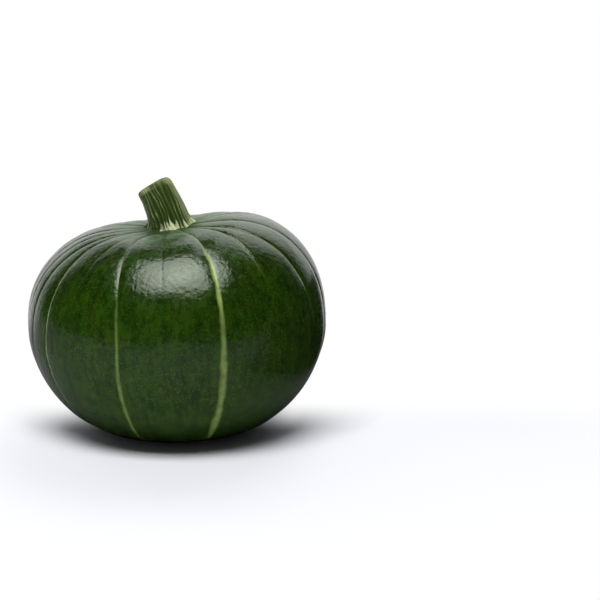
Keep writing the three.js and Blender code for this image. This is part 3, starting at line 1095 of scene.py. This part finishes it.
def light_room(scene, settings):
    """A dim room with a lit backdrop behind the squash. The camera sees a plain pale background."""
    world = bpy.data.worlds.new("room")
    world.use_nodes = True
    tree = world.node_tree
    scene.world = world
    side, back, up = split(wire(tree, "ShaderNodeTexCoord", None, "Generated"))
    level = (1 - up * up).apply("MAXIMUM", LEAST_LEVEL).apply("SQRT")
    higher = ease(side / level, *TOP_RIGHT) * TOP_RISE
    backdrop = ease(back / level, *BACKDROP_BACK) * (1 - ease(up - higher, *BACKDROP_TOP))
    backdrop = backdrop * between(ease(up, *LOW_UP), LOW_SHARE, 1.0)
    at_crown = ease(up, *CROWN_UP)
    crown_light = between(ease(side / level, *CROWN_RIGHT), *CROWN_SHARES) * at_crown
    backdrop = backdrop * between(at_crown, 1.0, crown_light)
    by_camera, in_gloss, _ = ray_kinds(tree)
    left_share = 1 - ease(side, *ROOM_RIGHT) * ROOM_LESS
    lit = between(in_gloss, settings.backdrop_glow * left_share, settings.backdrop_calm)
    dim = between(in_gloss, settings.room_glow * left_share, settings.room_calm)
    strength = between(by_camera, between(backdrop, dim, lit), 1.0)
    dress(tree, tree.nodes["Background"], {"Color": settings.air, "Strength": strength})


def hang_softbox(settings):
    """The overhead softbox, brightest in its middle. The front shoulder mirrors it as a window."""
    height = settings.box_place.z
    points = [(x * MM, y * MM, height) for x, y in SOFTBOX_PLAN]
    material = bpy.data.materials.new("softbox")
    material.use_nodes = True
    tree = material.node_tree
    tree.nodes.clear()
    where = wire(tree, "ShaderNodeTexCoord", None, "Object")
    aside = vectors("SUBTRACT", where, tuple(settings.box_place))
    off = vectors("LENGTH", aside, output="Value") / settings.box_spread
    shine = between((-(off * off)).apply("EXPONENT"), settings.box_edge, 1.0)
    facing = wire(tree, "ShaderNodeNewGeometry", None, "Backfacing")
    strength = shine * settings.box_glow * (1 - facing)
    lamp = add_node(tree, "ShaderNodeEmission", {"Strength": strength})
    output = add_node(tree, "ShaderNodeOutputMaterial")
    tree.links.new(lamp.outputs[0], output.inputs["Surface"])
    softbox = make_card("softbox", points, material)
    softbox.visible_camera = softbox.visible_diffuse = False


def hang_key(settings):
    """The key lamp, which lights the squash and the floor but isn't seen in the gloss."""
    data = bpy.data.lights.new("key", "AREA")
    data.shape = "RECTANGLE"
    data.size = settings.key_width
    data.size_y = settings.key_depth
    data.energy = settings.key_power
    key = bpy.data.objects.new("key", data)
    key.location = settings.key_place
    key.rotation_euler = Vector(settings.key_place).to_track_quat("Z", "Y").to_euler()
    key.visible_glossy = False
    bpy.context.scene.collection.objects.link(key)


def stand_flag(settings):
    """A dark flag at the right of the squash, which only the gloss of the rind shows."""
    x, y, z = settings.flag_place
    half_width, half_height = settings.flag_width / 2, settings.flag_height / 2
    corners = ((-1, -1), (-1, 1), (1, 1), (1, -1))
    points = [(x, y + half_width * side, z + half_height * end) for side, end in corners]
    material, tree, shader = new_material("dark flag")
    dress(tree, shader, {"Base Color": FLAG_PAINT, "Roughness": 1.0, "Specular IOR Level": 0.0})
    flag = make_card("flag", points, material)
    flag.visible_camera = flag.visible_diffuse = flag.visible_shadow = False


def set_camera(scene, settings):
    """The camera where the photographer's stood."""
    data = bpy.data.cameras.new("camera")
    data.lens = settings.lens
    data.sensor_width = SENSOR_WIDTH
    camera = bpy.data.objects.new("camera", data)
    camera.location = settings.camera_place
    camera.rotation_euler = (math.pi / 2 - settings.camera_dip, 0, 0)
    scene.collection.objects.link(camera)
    scene.camera = camera
    scene.view_settings.view_transform = "Standard"


class SQUASH_PT_panel(bpy.types.Panel):
    """The steps and the sizes of the squash"""

    bl_label = "Squash"
    bl_space_type = "VIEW_3D"
    bl_region_type = "UI"
    bl_category = "Squash"

    def draw(self, context):
        for step in STEPS:
            self.layout.operator(step.bl_idname)
        for name, kind in SETTINGS.items():
            group = getattr(context.scene, name)
            box = self.layout.box()
            for key in kind.__annotations__:
                box.prop(group, key)


STEPS = (SQUASH_OT_fruit, SQUASH_OT_stalk, SQUASH_OT_stage)
CLASSES = (*SETTINGS.values(), *STEPS, SQUASH_PT_panel)


def register():
    for kind in CLASSES:
        bpy.utils.register_class(kind)
    for name, kind in SETTINGS.items():
        setattr(bpy.types.Scene, name, PointerProperty(type=kind))


def unregister():
    for name in SETTINGS:
        delattr(bpy.types.Scene, name)
    for kind in reversed(CLASSES):
        bpy.utils.unregister_class(kind)


def main():
    register()
    bpy.ops.squash.fruit()
    bpy.ops.squash.stalk()
    bpy.ops.squash.stage()


if __name__ == "__main__":
    main()
